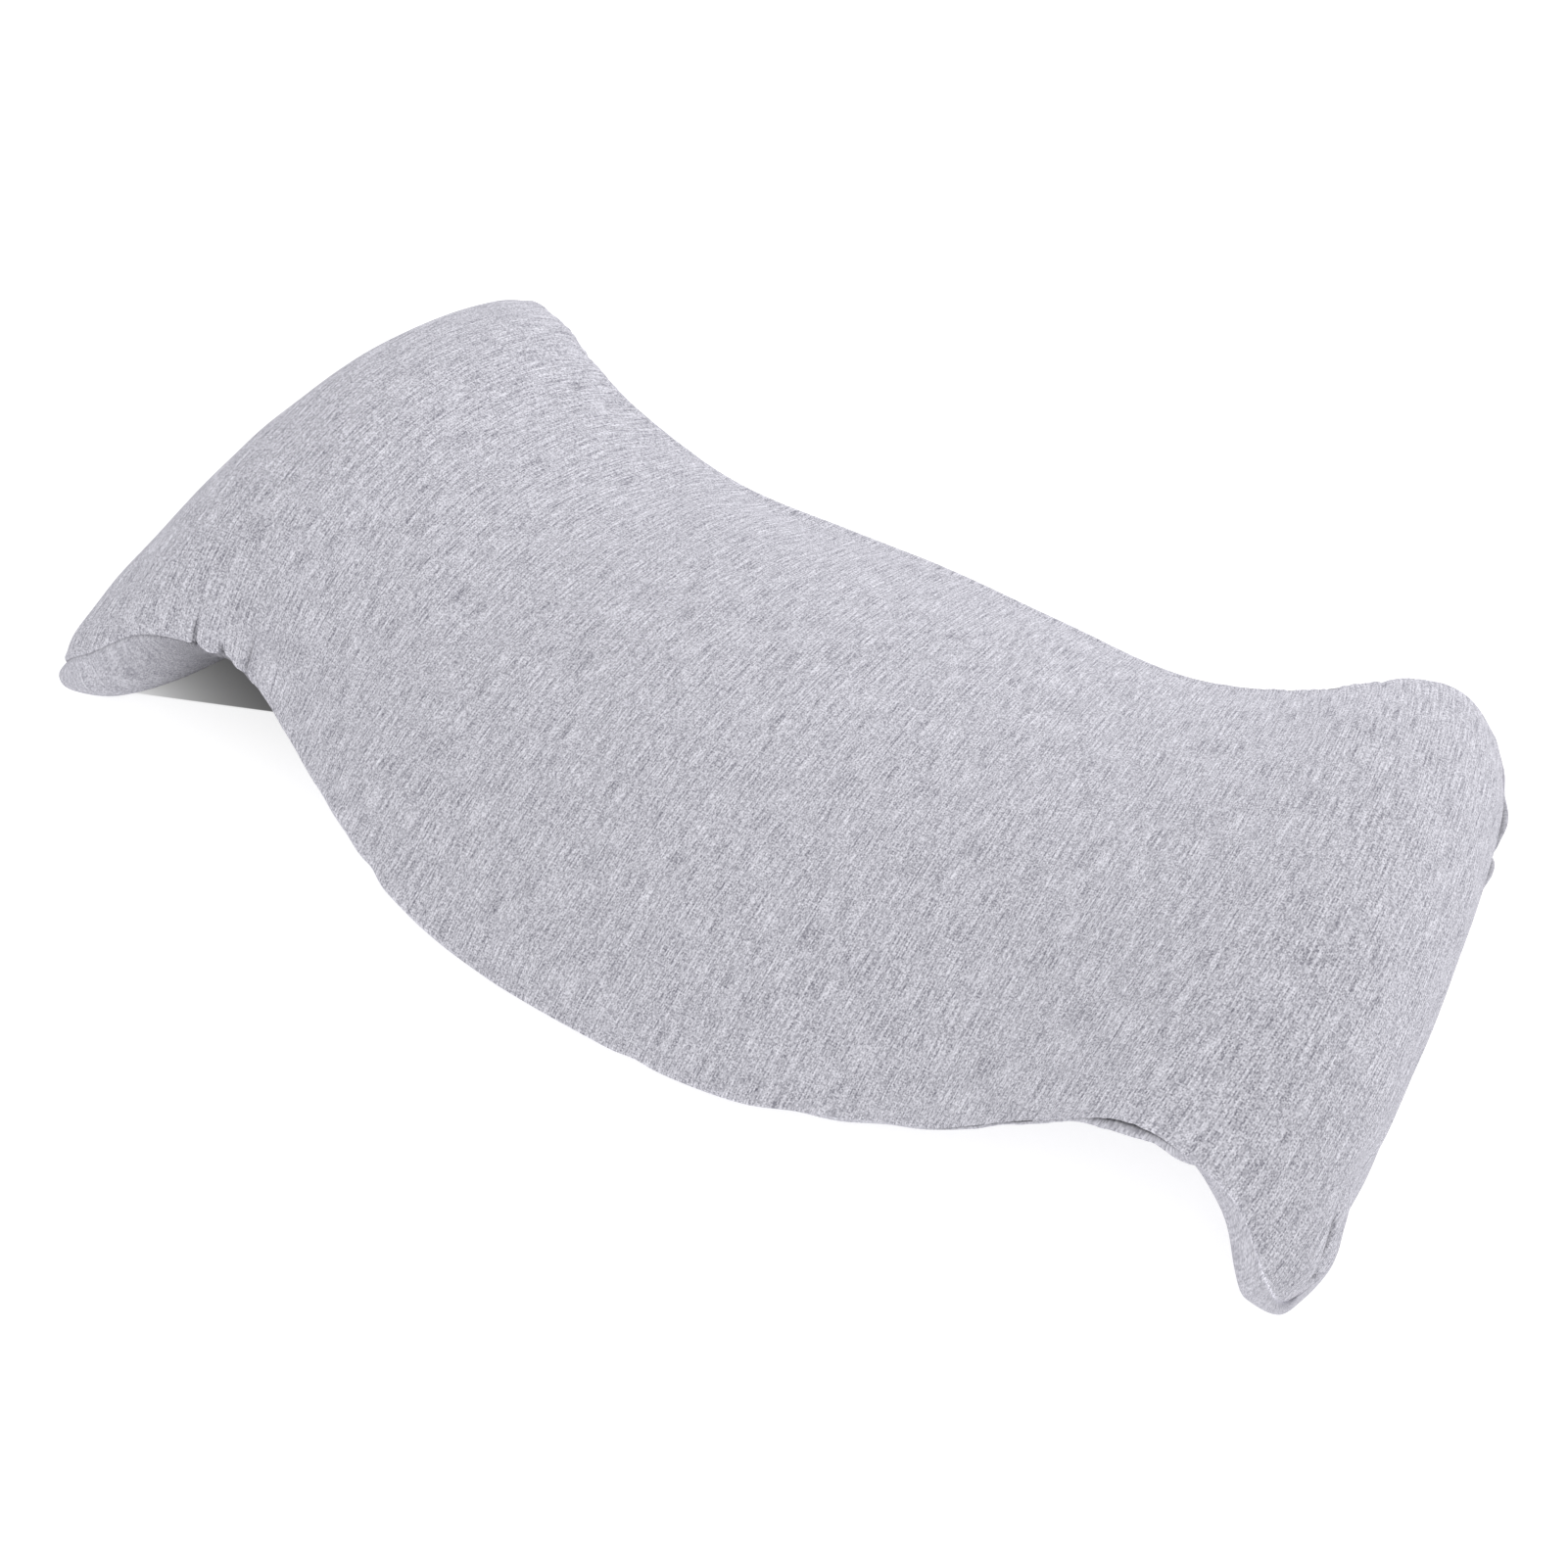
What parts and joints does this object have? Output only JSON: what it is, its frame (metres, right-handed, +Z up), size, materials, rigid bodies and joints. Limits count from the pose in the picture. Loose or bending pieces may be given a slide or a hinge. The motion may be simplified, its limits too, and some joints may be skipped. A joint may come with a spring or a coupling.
{
  "type": "lumbar pillow",
  "caption": "Butterfly-shaped lumbar pillow in a heather grey jersey cover, with a low rounded middle, drawn-in necks and a raised roll at each end.",
  "frame": {"origin": "centre of the bounding box, on the surface that the pillow lies on", "axes": "+X along the length, from one end roll to the other; -Y towards the wider belly and the longer ears; +Z up, through the thickness"},
  "size_m": [0.628, 0.3346, 0.0991],
  "materials": {
    "jersey": "matte heather jersey with fine ribs"
  },
  "bodies": {
    "root": {"pillow": "jersey"}
  },
  "joints": []
}
